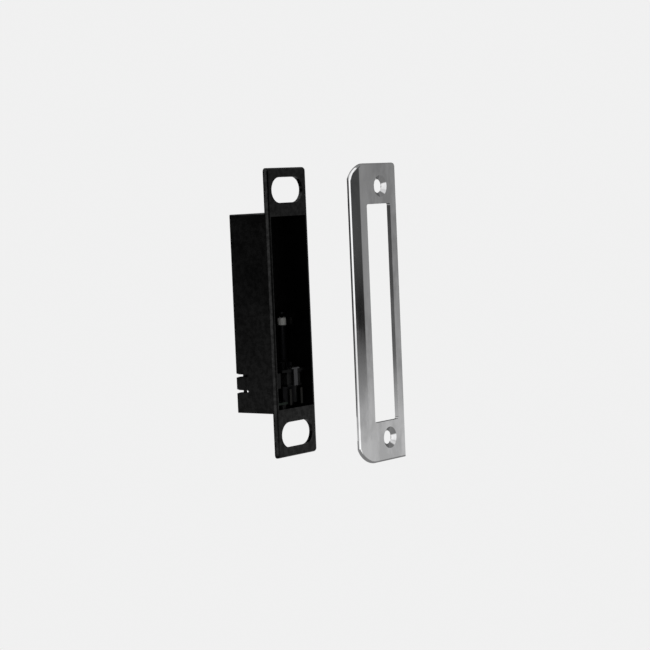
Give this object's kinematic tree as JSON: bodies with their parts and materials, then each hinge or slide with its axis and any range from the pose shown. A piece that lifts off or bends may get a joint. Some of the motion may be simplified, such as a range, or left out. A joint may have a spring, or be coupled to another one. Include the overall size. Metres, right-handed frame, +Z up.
{
  "type": "electric door strike",
  "caption": "Electric door strike: black steel mortise box with slotted tabs and a motor-driven latch ejector, and a polished faceplate with a window and a curved lip.",
  "frame": {"origin": "centre of the tabs' front face, midway between the two adjustment slots", "axes": "+X to the right seen from the door side, +Y into the jamb, +Z up"},
  "size_m": [0.0325, 0.0693, 0.1238],
  "materials": {
    "black_steel": "black zinc finish, satin",
    "polished_stainless": "polished stainless steel",
    "zinc_steel": "zinc plated steel",
    "dark_zinc_steel": "dark zinc plated steel",
    "cast_zinc": "dark tumbled zinc casting",
    "nylon_light": "natural nylon",
    "nylon_black": "black glass-filled nylon",
    "blackened_steel": "blackened steel",
    "tinned_brass": "tin plated brass",
    "motor_steel": "dark plated motor can",
    "board_green": "solder mask on glass epoxy",
    "chip_black": "moulded epoxy",
    "capacitor_sleeve": "heat-shrunk sleeve"
  },
  "bodies": {
    "frame": {"strike_box": "black_steel", "rear_cover": "black_steel", "cover_screws": "dark_zinc_steel", "chassis": "dark_zinc_steel", "lower_bushing": "nylon_light", "ejector_pin": "blackened_steel", "gearbox_case": "nylon_black", "gearbox_plates": "blackened_steel", "motor_can": "motor_steel", "motor_cap": "nylon_black", "motor_terminals": "tinned_brass", "motor_strap": "zinc_steel", "strap_screw": "blackened_steel", "latch_switch_case": "nylon_black", "latch_switch_terminals": "tinned_brass", "limit_switch_case": "nylon_black", "limit_switch_pins": "tinned_brass", "control_board": "board_green", "board_spacers": "nylon_black", "board_screws": "blackened_steel", "driver_chip": "chip_black", "capacitor": "capacitor_sleeve", "board_resistors": "chip_black", "wire_connector": "nylon_black", "connector_pins": "tinned_brass"},
    "ejector_arm": {"ejector": "cast_zinc", "upper_bushing": "nylon_light", "sector_gear": "blackened_steel", "roller_pin": "zinc_steel"},
    "roller": {"nose_roller": "nylon_black"},
    "drive": {"pinion": "blackened_steel", "motor_shaft": "zinc_steel"},
    "latch_lever": {"latch_switch_lever": "blackened_steel"},
    "latch_button": {"latch_switch_button": "nylon_light"},
    "limit_button": {"limit_switch_button": "nylon_light"},
    "front_plate": {"faceplate": "polished_stainless"}
  },
  "joints": [
    {"name": "plate_seat", "type": "slide", "parent": "frame", "child": "front_plate", "axis": [0, 1, 0], "range_m": [0, 0.0463]},
    {"name": "ejector_swing", "type": "hinge", "parent": "frame", "child": "ejector_arm", "pos_m": [0.0099, 0.0138, -0.0134], "axis": [0, 0, 1], "range_deg": [0, 47]},
    {"name": "roller_spin", "type": "hinge", "parent": "ejector_arm", "child": "roller", "pos_m": [-0.0098, 0.0142, -0.0134], "axis": [0, 0, 1], "continuous": true},
    {"name": "motor_spin", "type": "hinge", "parent": "frame", "child": "drive", "pos_m": [0.00302, 0.0088, -0.0233], "axis": [0, 0, 1], "range_deg": [-68, 0]},
    {"name": "lever_press", "type": "hinge", "parent": "frame", "child": "latch_lever", "pos_m": [-0.0085, 0.0149, -0.0253], "axis": [1, 0, 0], "range_deg": [0, 10], "stiffness_Nm_per_rad": 0.005, "springref_deg": -5.73},
    {"name": "latch_button_press", "type": "slide", "parent": "frame", "child": "latch_button", "axis": [0, 0, 1], "range_m": [-0.0007, 0]},
    {"name": "limit_button_press", "type": "slide", "parent": "frame", "child": "limit_button", "axis": [1, 0, 0], "range_m": [-0.0005, 0], "stiffness_N_per_m": 100, "springref_m": 0.0005}
  ],
  "couplings": [
    {"joint": "motor_spin", "follows": "ejector_swing", "ratio": -1.4286},
    {"joint": "latch_button_press", "follows": "lever_press", "m_per_rad": -0.004}
  ]
}
